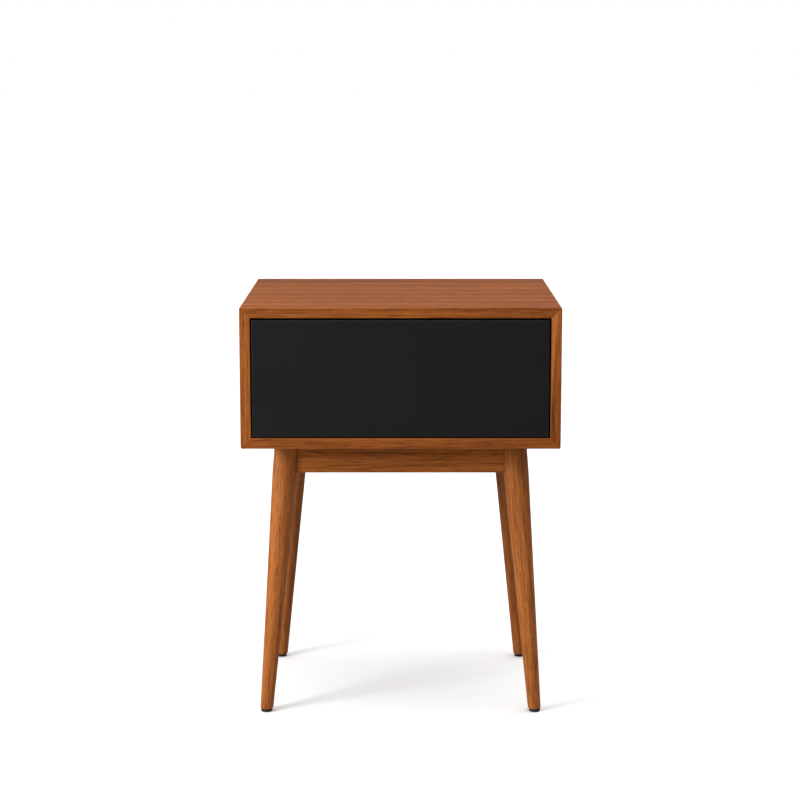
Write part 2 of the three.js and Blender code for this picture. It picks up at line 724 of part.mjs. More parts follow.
export default nightstand;
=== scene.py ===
"""Looks for the nightstand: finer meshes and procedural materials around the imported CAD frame."""

import json
import math

import bmesh
import bpy
from mathutils import Matrix, Vector

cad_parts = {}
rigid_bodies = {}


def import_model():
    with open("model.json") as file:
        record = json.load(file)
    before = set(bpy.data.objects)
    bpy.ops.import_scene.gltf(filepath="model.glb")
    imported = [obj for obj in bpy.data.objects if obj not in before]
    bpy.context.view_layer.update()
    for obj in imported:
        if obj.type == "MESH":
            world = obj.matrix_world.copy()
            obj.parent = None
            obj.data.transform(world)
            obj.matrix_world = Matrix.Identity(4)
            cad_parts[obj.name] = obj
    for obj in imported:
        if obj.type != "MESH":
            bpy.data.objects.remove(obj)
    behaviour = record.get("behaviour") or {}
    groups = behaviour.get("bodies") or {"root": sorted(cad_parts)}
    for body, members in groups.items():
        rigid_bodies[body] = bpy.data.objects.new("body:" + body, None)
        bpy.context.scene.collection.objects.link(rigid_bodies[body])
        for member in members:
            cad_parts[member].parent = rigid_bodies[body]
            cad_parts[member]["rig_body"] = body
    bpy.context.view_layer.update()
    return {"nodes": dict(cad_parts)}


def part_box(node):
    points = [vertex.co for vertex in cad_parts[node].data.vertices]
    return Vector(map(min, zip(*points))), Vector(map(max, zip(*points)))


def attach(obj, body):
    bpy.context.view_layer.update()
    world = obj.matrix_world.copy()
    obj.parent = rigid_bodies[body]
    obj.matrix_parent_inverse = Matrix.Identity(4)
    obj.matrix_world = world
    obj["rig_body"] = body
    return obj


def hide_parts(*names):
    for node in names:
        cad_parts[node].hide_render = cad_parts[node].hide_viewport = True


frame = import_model()

MM = 0.001
SIDES = {"left": -1, "right": 1}
ENDS = ("front", "back")
CORNERS = [f"{end}_{side}" for end in ENDS for side in SIDES]
SCREW_PLACES = ("front", "rear")  # along a slide
X_AXIS = Vector((1, 0, 0))
Y_AXIS = Vector((0, 1, 0))
Z_AXIS = Vector((0, 0, 1))


def millimetres(**sizes):
    """Named sizes, given in millimetres."""
    return {name: size * MM for name, size in sizes.items()}


# Camera
CAMERA_DISTANCE = 3.1268  # in front of the middle of the case
CAMERA_HEIGHT = 0.9569
CAMERA_OFFSET = -0.9 * MM
CAMERA_PITCH_DEG = 9.27
CAMERA_LENS = 93.256
CAMERA_SENSOR = 36

# Light: levels are relative to white on the screen
KEY_AZIMUTH_DEG = 58  # to the left of the camera's side
KEY_ELEVATION_DEG = 14
KEY_DISTANCE = 2.4  # from the middle of the case's front
KEY_SIZE = 1.0
KEY_LEVEL = 0.88  # what the key gives to a white surface that faces it
SKY_LEVEL = 2.8  # overhead
SKY_POWER = 2.0  # the sky falls with this power of the height above the horizon
BACKDROP_LEVEL = 1.0
FLOOR_SEEN_LEVEL = 1.22  # over white, so that only the deepest shadows show
FLOOR_BOUNCE = 0.32  # how much light the floor sends back to the object
FLOOR_RADIUS = 60.0
FLOOR_SEGMENTS = 128

# Welding, rounding and shading of the CAD shapes
WELD_DISTANCE = 0.01 * MM
FLAT_ANGLE_DEG = 0.5  # faces that meet at less are joined
SHARP_ANGLE_DEG = 30  # edges that turn by less are never rounded
SMOOTH_ANGLE_DEG = 40  # edges that turn by more stay sharp in the shading

# Case, aprons and other boards
CASE_CORNER_RADIUS = 2.2 * MM
CASE_FACE_RADIUS = 0.8 * MM
OPENING_RADIUS = 0.7 * MM
APRON_RADIUS = 1.2 * MM
FRONT_RADIUS = 1.1 * MM
BOX_EDGE_RADIUS = 1.0 * MM
BOX_BOTTOM_RADIUS = 0.3 * MM
BLOCK_RADIUS = 1.0 * MM
HOUSING_RADIUS = 0.6 * MM
PLY_THICKNESS = 1.35 * MM
APRON_LONG_SHARE = 1 / 3  # of the apron's diagonal; the edges across it are shorter
BLOCK_LONG_EDGE = 12 * MM  # the edges round the block's screw hole are shorter

# Legs and glides
LEG_RADIUS = 18.5 * MM
FOOT_RADIUS = 9.4 * MM
FOOT_ROUNDING = 2.4 * MM
FOOT_ROUNDING_STEPS = 6
LEG_TOP_GAP = 0.3 * MM
LEG_SEGMENTS = 96
LEG_RINGS = 40
GLIDE_THICKNESS = 4.0 * MM
GLIDE_LOWER_ROUNDING = 1.9 * MM
GLIDE_UPPER_ROUNDING = 0.4 * MM
GLIDE_PIN_RADIUS = 1.25 * MM
GLIDE_PIN_POINT = 2.5 * MM
GLIDE_SEGMENTS = 64

# Slides: web, rim and across are distances from the side panel, half and up are heights from the
# slide's axis, lip is a length and ball a radius
STEEL = 1.25 * MM
SLIDE_THICKNESS = 13.0 * MM
CASE_MEMBER = millimetres(web=0.0, rim=8.5, half=22.5, lip=2.75)
MIDDLE_MEMBER = millimetres(web=3.5, rim=11.0, half=16.25, lip=2.75)
DRAWER_MEMBER = millimetres(across=6.75, half=10.5)
OUTER_BEND = 1.1 * MM
INNER_BEND = 0.35 * MM
SHEET_EDGE = 0.3 * MM
BEND_STEPS = 4
OUTER_CAGE = millimetres(web=2, rim=6.25, across=4.25, up=18.75, ball=2.25)
INNER_CAGE = millimetres(web=5.25, rim=9.25, across=7.25, up=12.75, ball=2.0)
CAGE_STEEL = 0.75 * MM
CAGE_EDGE = 0.2 * MM
CAGE_BEND = 3 * CAGE_EDGE
BALLS_PER_ROW = 5
BALL_PITCH = 25 * MM
BALL_SEGMENTS = 24
BALL_RINGS = 16

# Screws: radii of the head and the shank, rise of the head, pitch of the thread, reach of the cross
PAN, FLAT = "pan", "flat"
BASE_SCREW = {"kind": PAN, **millimetres(head=5, shank=2.25, rise=3, pitch=2.2, cross=3.0)}
FRONT_SCREW = {"kind": PAN, **millimetres(head=4.5, shank=2, rise=2.25, pitch=1.8, cross=2.6)}
LATCH_SCREW = {"kind": PAN, **millimetres(head=3.25, shank=1.5, rise=2, pitch=1.4, cross=1.9)}
SLIDE_SCREW = {"kind": FLAT, **millimetres(head=3.5, shank=1.75, rise=2.25, pitch=1.5, cross=2.1)}
SCREW_POINT = 3.0 * MM
SCREW_SEGMENTS = 32
PAN_CROWN = 0.55  # rounded share of a pan head's rise
PAN_TOP_RING = 0.45  # of the head's radius, a ring on its flat top
FLAT_TOP_RING = 0.95  # of the head's radius, where its top meets the rim
FLAT_RIM = 0.12 * MM
THREAD_DEPTH = 0.28  # of the shank's radius
THREAD_STEEPNESS = 1.8  # above 1, the crests stand apart
THREAD_STEPS = 5  # rings to one turn of the thread
THREAD_END = 0.2 * MM  # before the tip
CROSS_DEPTH = 1.3 * MM
CROSS_ARM_WIDTH = 0.26  # half the arm's width, of the cross's reach
CROSS_TAPER = 0.45  # reach at the bottom, of the reach at the top
CUT_MARGIN = 1.0 * MM
COUNTERSINK = millimetres(clearance=0.3, rim=0.1, cone=2.4, hole=2.0, depth=3.0)

# Latch
PLUNGER_ROUNDING = 1.2 * MM
PLUNGER_REAR_ROUNDING = 0.3 * MM
STRIKE_THICKNESS = 1.5 * MM
STRIKE_ROUNDING = 0.4 * MM
STRIKE_PIN_RADIUS = 1.5 * MM
LATHE_SEGMENTS = 48

# The first seed of each group; a seed shifts the grain, so that no two pieces share it
BACK_PANEL_SEED = 5
APRON_SEED = 21
BLOCK_SEED = 31
BOX_SEED = 41
LEG_SEED = 81


# ---- Meshes -------------------------------------------------------------------------------


def object_from(bm, name, matrix=None):
    """A new object from a bmesh; with a matrix, the points move into that frame."""
    if matrix is not None:
        bmesh.ops.transform(bm, matrix=matrix.inverted(), verts=bm.verts)
    bmesh.ops.recalc_face_normals(bm, faces=bm.faces)
    mesh = bpy.data.meshes.new(name)
    bm.to_mesh(mesh)
    bm.free()
    made = bpy.data.objects.new(name, mesh)
    bpy.context.scene.collection.objects.link(made)
    if matrix is not None:
        made.matrix_world = matrix
    return made


def shade(piece):
    """Smooth shading that keeps the large faces flat beside their rounded edges."""
    piece.data.shade_smooth()
    piece.data.set_sharp_from_angle(angle=math.radians(SMOOTH_ANGLE_DEG))
    modifier = piece.modifiers.new("weighted", "WEIGHTED_NORMAL")
    modifier.keep_sharp = True
    return piece


def dress(piece, *materials):
    """Gives the piece these materials and no others."""
    piece.data.materials.clear()
    for material in materials:
        piece.data.materials.append(material)


def stand_for(piece, node):
    """The piece takes the CAD node's place and body."""
    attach(piece, frame["nodes"][node]["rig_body"])
    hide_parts(node)


def frame_along(place, direction):
    """A frame at the place whose Z axis points in the direction."""
    return Matrix.Translation(place) @ direction.to_track_quat("Z", "Y").to_matrix().to_4x4()


def box_bmesh(low, high):
    bm = bmesh.new()
    bmesh.ops.create_cube(bm, size=1.0)
    bmesh.ops.scale(bm, vec=high - low, verts=bm.verts)
    bmesh.ops.translate(bm, vec=(high + low) / 2, verts=bm.verts)
    return bm


def cad_bmesh(node):
    """The CAD node's mesh with its points welded and its flat faces joined."""
    bm = bmesh.new()
    bm.from_mesh(frame["nodes"][node].data)
    bmesh.ops.remove_doubles(bm, verts=bm.verts, dist=WELD_DISTANCE)
    flat = math.radians(FLAT_ANGLE_DEG)
    bmesh.ops.dissolve_limit(bm, angle_limit=flat, verts=bm.verts, edges=bm.edges)
    return bm


def round_edges(bm, chosen, radius, segments):
    """Rounds the sharp edges that the test chooses."""
    sharp = math.radians(SHARP_ANGLE_DEG)
    edges = []
    for edge in bm.edges:
        if len(edge.link_faces) == 2 and edge.calc_face_angle() > sharp and chosen(edge):
            edges.append(edge)
    bmesh.ops.bevel(
        bm,
        geom=edges,
        offset=radius,
        offset_type="OFFSET",
        segments=segments,
        profile=0.5,
        affect="EDGES",
        clamp_overlap=True,
    )


def edge_at(edge, axis, *values):
    """Whether both ends of the edge lie at one of the values on the axis."""
    for value in values:
        if all(abs(vert.co[axis] - value) < WELD_DISTANCE for vert in edge.verts):
            return True
    return False


def on_box_edges(low, high):
    """A test for the edges that lie on the twelve edges of a box."""

    def chosen(edge):
        return sum(edge_at(edge, axis, low[axis], high[axis]) for axis in range(3)) >= 2

    return chosen


def longer_than(length):
    """A test for the edges over a length."""

    def chosen(edge):
        return edge.calc_length() > length

    return chosen


def rounded_piece(node, suffix, chosen, radius, material, segments=3):
    """A CAD node's shape with its chosen edges rounded."""
    bm = cad_bmesh(node)
    round_edges(bm, chosen, radius, segments)
    piece = object_from(bm, f"{node}_{suffix}")
    dress(piece, material)
    stand_for(shade(piece), node)


def boolean(piece, operation, other):
    """Gives the piece the result of a boolean with another object, which is kept."""
    modifier = piece.modifiers.new("boolean", "BOOLEAN")
    modifier.operation = operation
    modifier.solver = "EXACT"
    modifier.object = other
    graph = bpy.context.evaluated_depsgraph_get()
    final = bpy.data.meshes.new_from_object(piece.evaluated_get(graph))
    piece.modifiers.clear()
    piece.data = final


def discard(helper):
    """Removes a helper object with its mesh."""
    mesh = helper.data
    bpy.data.objects.remove(helper)
    bpy.data.meshes.remove(mesh)


def bridge_rings(bm, rings):
    """Joins rings of equal size; a ring of one point closes an end."""
    for lower, upper in zip(rings, rings[1:]):
        count = max(len(lower), len(upper))
        for step in range(count):
            following = (step + 1) % count
            if len(lower) == 1:
                bm.faces.new((lower[0], upper[following], upper[step]))
            elif len(upper) == 1:
                bm.faces.new((lower[step], lower[following], upper[0]))
            else:
                bm.faces.new((lower[step], lower[following], upper[following], upper[step]))


def turned_bmesh(profile, segments):
    """A solid turned about Z from (height, radius) pairs; a radius may depend on the angle."""
    bm = bmesh.new()
    rings = []
    for height, radius in profile:
        if radius == 0:
            rings.append([bm.verts.new((0, 0, height))])
            continue
        ring = []
        for step in range(segments):
            angle = 2 * math.pi * step / segments
            reach = radius(angle) if callable(radius) else radius
            ring.append(bm.verts.new((reach * math.cos(angle), reach * math.sin(angle), height)))
        rings.append(ring)
    bridge_rings(bm, rings)
    return bm


def arc(height, radius, rounding, start_deg, end_deg, steps):
    """Points of a rounded edge in a lathe profile, about a centre at the height and radius."""
    points = []
    for step in range(steps + 1):
        angle = math.radians(start_deg + (end_deg - start_deg) * step / steps)
        points.append((height + rounding * math.sin(angle), radius + rounding * math.cos(angle)))
    return points


def prism_along_y(outline, low_y, high_y):
    """A prism from a closed outline of (x, z) points."""
    bm = bmesh.new()
    near = [bm.verts.new((x, low_y, z)) for x, z in outline]
    far = [bm.verts.new((x, high_y, z)) for x, z in outline]
    bridge_rings(bm, [near, far])
    bm.faces.new(near)
    bm.faces.new(far)
    return bm


def filleted(corners):
    """A closed outline from (x, z, radius) corners, each replaced by an arc of that radius."""
    outline = []
    count = len(corners)
    for index, (x, z, radius) in enumerate(corners):
        here = Vector((x, z))
        before = Vector(corners[index - 1][:2])
        after = Vector(corners[(index + 1) % count][:2])
        back = (before - here).normalized()
        ahead = (after - here).normalized()
        half = back.angle(ahead) / 2
        reach = radius / math.tan(half)
        centre = here + (back + ahead).normalized() * (radius / math.sin(half))
        start = here + back * reach - centre
        end = here + ahead * reach - centre
        sweep = start.angle_signed(end)
        for step in range(BEND_STEPS + 1):
            turn = Matrix.Rotation(-sweep * step / BEND_STEPS, 2)
            outline.append(tuple(centre + turn @ start))
    return outline


# ---- Material helpers ---------------------------------------------------------------------

# Sockets of a Mix node that is set to colours
MIX_FACTOR, MIX_FIRST, MIX_SECOND = 0, 6, 7
MIX_RESULT = 2

# Largest part of the normal on an arris and on a face, where the faces lie square to the axes
ARRIS_NORMAL = 0.86
FACE_NORMAL = 0.985


def srgb(red, green, blue):
    """Linear colour from 0-255 display values."""

    def linear(value):
        value /= 255
        return value / 12.92 if value <= 0.04045 else ((value + 0.055) / 1.055) ** 2.4

    return tuple(linear(value) for value in (red, green, blue))


def set_input(tree, socket, value):
    """Links a socket's value to the input, or sets a plain one."""
    if isinstance(value, bpy.types.NodeSocket):
        tree.links.new(value, socket)
    else:
        socket.default_value = value


def add(tree, kind, inputs=None, **settings):
    """A node with its settings made and its inputs set or linked."""
    node = tree.nodes.new(kind)
    for key, value in settings.items():
        setattr(node, key, value)
    for key, value in (inputs or {}).items():
        set_input(tree, node.inputs[key], value)
    return node


def calculate(tree, operation, first, second=0.0):
    return add(tree, "ShaderNodeMath", {0: first, 1: second}, operation=operation).outputs[0]


def weighted_sum(tree, constant, *terms):
    """constant + value * weight for each (value, weight) pair."""
    total = constant
    for value, weight in terms:
        inputs = {0: value, 1: weight, 2: total}
        total = add(tree, "ShaderNodeMath", inputs, operation="MULTIPLY_ADD").outputs[0]
    return total


def ramp(tree, factor, *stops):
    """A colour ramp; each stop is a position with a linear colour or a grey."""
    node = add(tree, "ShaderNodeValToRGB", {0: factor})
    elements = node.color_ramp.elements
    while len(elements) < len(stops):
        elements.new(0.5)
    for element, (position, colour) in zip(elements, stops):
        element.position = position
        element.color = (colour, colour, colour, 1) if isinstance(colour, float) else (*colour, 1)
    return node.outputs["Color"]


def blend_colours(tree, factor, first, second):
    node = add(tree, "ShaderNodeMix", data_type="RGBA")
    for index, value in ((MIX_FACTOR, factor), (MIX_FIRST, first), (MIX_SECOND, second)):
        value = (*value, 1) if isinstance(value, tuple) else value
        set_input(tree, node.inputs[index], value)
    return node.outputs[MIX_RESULT]


def noise(tree, place, scale, detail, roughness=0.5, distortion=0.0):
    """Noise whose scale is in waves per metre, in all directions or along each axis."""
    scale = scale if isinstance(scale, tuple) else (scale,) * 3
    scaled = add(tree, "ShaderNodeMapping", {"Vector": place, "Scale": scale})
    values = {
        "Vector": scaled.outputs[0],
        "Scale": 1.0,
        "Detail": detail,
        "Roughness": roughness,
        "Distortion": distortion,
    }
    return add(tree, "ShaderNodeTexNoise", values).outputs["Fac"]


def object_place(tree):
    return add(tree, "ShaderNodeTexCoord").outputs["Object"]


def arris_mask(tree):
    """1 on the rounded edges of a piece whose faces lie square to the axes, 0 on its faces."""
    normal = add(tree, "ShaderNodeTexCoord").outputs["Normal"]
    size = add(tree, "ShaderNodeVectorMath", {0: normal}, operation="ABSOLUTE").outputs[0]
    parts = add(tree, "ShaderNodeSeparateXYZ", {0: size}).outputs
    largest = calculate(tree, "MAXIMUM", calculate(tree, "MAXIMUM", parts[0], parts[1]), parts[2])
    return ramp(tree, largest, (ARRIS_NORMAL, 1.0), (FACE_NORMAL, 0.0))


def new_material(name):
    """An empty material and its node tree."""
    material = bpy.data.materials.new(name)
    material.use_nodes = True
    material.node_tree.nodes.clear()
    return material, material.node_tree


def finish_material(tree, colour, roughness, height, bump, **sockets):
    """Closes a material; bump is the relief's depth, and plain numbers go onto the shader."""
    relief = add(tree, "ShaderNodeBump", {"Height": height, "Distance": bump, "Strength": 1.0})
    values = {"Base Color": colour, "Roughness": roughness, "Normal": relief.outputs[0]}
    values.update({key.replace("_", " "): value for key, value in sockets.items()})
    shader = add(tree, "ShaderNodeBsdfPrincipled", values)
    add(tree, "ShaderNodeOutputMaterial", {"Surface": shader.outputs[0]})


# ---- Wood ---------------------------------------------------------------------------------

WALNUT_DARK = srgb(98, 46, 15)
WALNUT_MID = srgb(148, 81, 32)
WALNUT_LIGHT = srgb(184, 110, 52)
WALNUT_PORE = srgb(66, 28, 8)
WALNUT_BALANCE = -1.1  # brings the sum of the noises to the middle of the colours
BIRCH_LIGHT = srgb(222, 190, 146)
BIRCH_DARK = srgb(190, 150, 104)
BIRCH_GLUE = srgb(120, 84, 52)
BEECH_LIGHT = srgb(205, 158, 108)
BEECH_DARK = srgb(168, 118, 74)
BEECH_FLECK = srgb(120, 78, 44)

# Looks of the walnut pieces, as walnut() takes them
BACK_PANEL_WOOD = {"tone": -0.05, "streak_level": 0.6}
LEG_WOOD = {"tone": 0.19, "streak_level": 0.7, "square": False, "gloss": 0.14}
APRON_WOOD = {"tone": 0.17, "square": False, "gloss": 0.05}

# Turns object coordinates so that the grain runs along the first axis.
GRAIN_TURN = {"X": (0, 0, 0), "Y": (0, 0, math.pi / 2), "Z": (0, math.pi / 2, 0)}
SEED_STEP = (1.37, 0.61, 0.43)


def grain_place(tree, grain, seed):
    """Object coordinates with the grain along the first axis, shifted by the seed."""
    turned = {"Vector": object_place(tree), "Rotation": GRAIN_TURN[grain]}
    turned = add(tree, "ShaderNodeMapping", turned).outputs[0]
    shift = tuple(seed * step for step in SEED_STEP)
    return add(tree, "ShaderNodeMapping", {"Vector": turned, "Location": shift}).outputs[0]


def walnut(name, grain, seed, tone=0.0, streak_level=1.0, square=True, gloss=0.1):
    """Satin-lacquered, reddish-stained walnut.

    The tone makes the whole piece lighter or darker. A lower streak level makes its dark streaks
    weaker. A square piece has paler arrises: wear, and a painted highlight along them. The gloss
    is the shader's specular level.
    """
    material, tree = new_material(name)
    place = grain_place(tree, grain, seed)

    bands = noise(tree, place, (0.5, 26, 26), detail=3, roughness=0.55, distortion=0.3)
    figure = noise(tree, place, (1.4, 110, 110), detail=3, roughness=0.65, distortion=0.15)
    streaks = noise(tree, place, (6, 400, 400), detail=3, roughness=0.7)
    dashes = noise(tree, place, (26, 620, 620), detail=2, roughness=0.6)
    fibres = noise(tree, place, (40, 1300, 1300), detail=2, roughness=0.6)
    pores = noise(tree, place, (55, 2600, 2600), detail=1)

    level = weighted_sum(
        tree,
        WALNUT_BALANCE + tone,
        (bands, 0.8),
        (figure, 0.75),
        (streaks, 0.8),
        (dashes, 0.5),
        (fibres, 0.35),
    )
    colour = ramp(tree, level, (0.1, WALNUT_DARK), (0.5, WALNUT_MID), (0.9, WALNUT_LIGHT))
    streak_mask = ramp(tree, streaks, (0.3, 0.5 * streak_level), (0.44, 0.0))
    dash_mask = ramp(tree, dashes, (0.3, 0.55), (0.42, 0.0))
    pore_mask = ramp(tree, pores, (0.28, 0.8), (0.4, 0.0))
    for mask in (streak_mask, dash_mask, pore_mask):
        colour = blend_colours(tree, mask, colour, WALNUT_PORE)
    if square:
        # Paler arrises: partly wear, partly a painted highlight where the rounded edges catch the
        # light.
        wear_and_painted_highlight = calculate(tree, "MULTIPLY", arris_mask(tree), weighted_sum(tree, 0.0, (figure, 0.8)))
        colour = blend_colours(tree, wear_and_painted_highlight, colour, WALNUT_LIGHT)

    roughness = weighted_sum(tree, 0.34, (fibres, 0.12), (pore_mask, 0.2), (bands, 0.08))
    height = weighted_sum(tree, 0.5, (fibres, 0.3), (pore_mask, -0.7))
    finish_material(tree, colour, roughness, height, bump=0.05 * MM, Specular_IOR_Level=gloss)
    return material


def plywood(name, grain, thickness_axis, seed):
    """Birch plywood: veneer on the faces, and alternating plies on the edges."""
    material, tree = new_material(name)
    place = grain_place(tree, grain, seed)
    bands = noise(tree, place, (1.2, 30, 30), detail=3)
    fibres = noise(tree, place, (14, 500, 500), detail=3)
    veneer = weighted_sum(tree, 0.0, (bands, 0.8), (fibres, 0.4))
    veneer = ramp(tree, veneer, (0.3, BIRCH_DARK), (0.9, BIRCH_LIGHT))

    depth = add(tree, "ShaderNodeSeparateXYZ", {0: object_place(tree)}).outputs[thickness_axis]
    pair_of_plies = calculate(tree, "FRACT", calculate(tree, "DIVIDE", depth, 2 * PLY_THICKNESS))
    plies = ramp(
        tree,
        pair_of_plies,
        (0.0, BIRCH_GLUE),
        (0.05, BIRCH_LIGHT),
        (0.47, BIRCH_LIGHT),
        (0.5, BIRCH_GLUE),
        (0.55, BIRCH_DARK),
        (0.98, BIRCH_DARK),
    )
    normal = add(tree, "ShaderNodeTexCoord").outputs["Normal"]
    facing = add(tree, "ShaderNodeSeparateXYZ", {0: normal}).outputs[thickness_axis]
    on_edge = calculate(tree, "LESS_THAN", calculate(tree, "ABSOLUTE", facing), 0.5)
    colour = blend_colours(tree, on_edge, veneer, plies)
    roughness = weighted_sum(tree, 0.42, (fibres, 0.15))
    finish_material(tree, colour, roughness, fibres, bump=0.04 * MM, Specular_IOR_Level=0.35)
    return material


def beech(name, grain, seed):
    """Raw beech with its short flecks."""
    material, tree = new_material(name)
    place = grain_place(tree, grain, seed)
    bands = noise(tree, place, (3, 90, 90), detail=3)
    flecks = noise(tree, place, (90, 700, 700), detail=1)
    fleck_mask = ramp(tree, flecks, (0.3, 0.6), (0.42, 0.0))
    base = ramp(tree, bands, (0.3, BEECH_DARK), (0.7, BEECH_LIGHT))
    colour = blend_colours(tree, fleck_mask, base, BEECH_FLECK)
    roughness = weighted_sum(tree, 0.55, (bands, 0.2))
    finish_material(tree, colour, roughness, bands, bump=0.05 * MM, Specular_IOR_Level=0.3)
    return material


# ---- Paint, steel and plastics ------------------------------------------------------------

# Dark and light
BLACK_NYLON = (srgb(16, 16, 16), srgb(28, 27, 26))
GREY_NYLON = (srgb(120, 122, 124), srgb(146, 148, 150))


def black_paint(name):
    """Matte black sprayed paint: a faint orange peel, a cloudy sheen and a painted highlight on the
    arrises.
    """
    material, tree = new_material(name)
    place = object_place(tree)
    peel = noise(tree, place, 700, detail=2)
    clouds = noise(tree, place, 9, detail=4)
    colour = ramp(tree, clouds, (0.3, srgb(5, 5, 5)), (0.7, srgb(8, 8, 8)))
    # Painted highlight: the rounded arrises are painted lighter grey, as if they caught the light.
    painted_arris_highlight = calculate(tree, "MULTIPLY", arris_mask(tree), 0.5)
    colour = blend_colours(tree, painted_arris_highlight, colour, srgb(44, 44, 44))
    roughness = weighted_sum(tree, 0.48, (clouds, 0.06))
    finish_material(tree, colour, roughness, peel, bump=0.015 * MM, Specular_IOR_Level=0.27)
    return material


def zinc(name, lines_scale):
    """Zinc-plated steel with fine lines from its making and a patchy sheen."""
    material, tree = new_material(name)
    place = object_place(tree)
    lines = noise(tree, place, lines_scale, detail=3)
    stains = noise(tree, place, 60, detail=4)
    colour = ramp(tree, stains, (0.3, srgb(168, 172, 174)), (0.7, srgb(202, 204, 203)))
    roughness = weighted_sum(tree, 0.16, (lines, 0.16), (stains, 0.16))
    finish_material(tree, colour, roughness, lines, bump=0.01 * MM, Metallic=1.0)
    return material


def coated_steel(name):
    """Steel under a thin black dip coat: slightly uneven, and rubbed grey here and there."""
    material, tree = new_material(name)
    place = object_place(tree)
    peel = noise(tree, place, (420, 60, 420), detail=3)
    rubs = noise(tree, place, (160, 8, 160), detail=4)
    rub_mask = ramp(tree, rubs, (0.6, 0.0), (0.72, 0.35))
    base = ramp(tree, peel, (0.3, srgb(20, 20, 21)), (0.7, srgb(30, 31, 32)))
    colour = blend_colours(tree, rub_mask, base, srgb(86, 88, 90))
    roughness = weighted_sum(tree, 0.3, (rubs, 0.2))
    finish_material(tree, colour, roughness, peel, bump=0.01 * MM, Specular_IOR_Level=0.4)
    return material


def bearing_steel(name):
    """Polished steel with fine handling marks."""
    material, tree = new_material(name)
    marks = noise(tree, object_place(tree), 900, detail=3)
    colour = ramp(tree, marks, (0.3, srgb(205, 207, 208)), (0.7, srgb(228, 229, 230)))
    roughness = weighted_sum(tree, 0.05, (marks, 0.12))
    finish_material(tree, colour, roughness, marks, bump=0.003 * MM, Metallic=1.0)
    return material


def moulded_plastic(name, dark, light, least_roughness):
    """Plastic from a spark-eroded mould, with light scuffs."""
    material, tree = new_material(name)
    place = object_place(tree)
    texture = noise(tree, place, 1600, detail=2)
    scuffs = noise(tree, place, 120, detail=4)
    colour = ramp(tree, scuffs, (0.35, dark), (0.7, light))
    roughness = weighted_sum(tree, least_roughness, (scuffs, 0.2))
    finish_material(tree, colour, roughness, texture, bump=0.02 * MM)
    return material


# ---- Case ---------------------------------------------------------------------------------


def case_envelope():
    """The outside of the whole case with its corners rounded."""
    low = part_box("bottom_panel")[0]
    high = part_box("top_panel")[1]

    def on_front_or_back(edge):
        return edge_at(edge, 1, low.y, high.y)

    def from_front_to_back(edge):
        return not on_front_or_back(edge)

    bm = box_bmesh(low, high)
    round_edges(bm, from_front_to_back, CASE_CORNER_RADIUS, segments=5)
    round_edges(bm, on_front_or_back, CASE_FACE_RADIUS, segments=4)
    return object_from(bm, "case_envelope")


def round_opening(board):
    """Eases the front arris round the drawer opening."""
    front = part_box("top_panel")[0].y
    inner_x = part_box("right_side_panel")[0].x
    inner_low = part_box("bottom_panel")[1].z
    inner_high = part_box("top_panel")[0].z

    def chosen(edge):
        inside = edge_at(edge, 0, -inner_x, inner_x) or edge_at(edge, 2, inner_low, inner_high)
        return inside and edge_at(edge, 1, front)

    bm = bmesh.new()
    bm.from_mesh(board.data)
    round_edges(bm, chosen, OPENING_RADIUS, segments=3)
    bm.to_mesh(board.data)
    bm.free()


CASE_BOARDS = {  # node: grain, seed, tone
    "top_panel": ("X", 1, -0.13),
    "bottom_panel": ("X", 2, -0.15),
    "left_side_panel": ("Z", 3, 0.02),
    "right_side_panel": ("Z", 18, -0.1),
}


def build_case():
    """The four mitred boards, each cut by the rounded envelope, and the back panel's wood."""
    envelope = case_envelope()
    for node, (grain, seed, tone) in CASE_BOARDS.items():
        board = object_from(cad_bmesh(node), node + "_wood")
        boolean(board, "INTERSECT", envelope)
        round_opening(board)
        dress(board, walnut(node + "_walnut", grain, seed, tone))
        stand_for(shade(board), node)
    discard(envelope)
    back_wood = walnut("back_panel_walnut", "X", BACK_PANEL_SEED, **BACK_PANEL_WOOD)
    dress(frame["nodes"]["back_panel"], back_wood)


# ---- Base ---------------------------------------------------------------------------------


def leg_axis(corner):
    """Foot and top of a leg's axis, from the glide's middle and the leg's innermost points."""
    leg_low, leg_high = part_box("leg_" + corner)
    glide_low, glide_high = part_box("glide_" + corner)
    foot = (glide_low + glide_high) / 2
    foot.z = 0
    inner = [low if centre > 0 else high for low, high, centre in zip(leg_low, leg_high, foot)]
    top = Vector((
        inner[0] + math.copysign(LEG_RADIUS, foot.x),
        inner[1] + math.copysign(LEG_RADIUS, foot.y),
        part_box("bottom_panel")[0].z,
    ))
    return foot, top


def leg_radius_at(height):
    """The leg tapers from the lower edge of the aprons to the floor."""
    taper_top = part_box("apron_front")[0].z
    return FOOT_RADIUS + (LEG_RADIUS - FOOT_RADIUS) * min(1.0, height / taper_top)


def leg_heights(bottom, top):
    """Heights of the leg's rings: close together in the rounded foot, and then even."""
    heights = []
    for step in range(FOOT_ROUNDING_STEPS):
        angle = math.pi / 2 * step / FOOT_ROUNDING_STEPS
        heights.append(bottom + FOOT_ROUNDING * (1 - math.cos(angle)))
    low = bottom + FOOT_ROUNDING
    for step in range(LEG_RINGS + 1):
        heights.append(low + (top - low) * step / LEG_RINGS)
    return heights


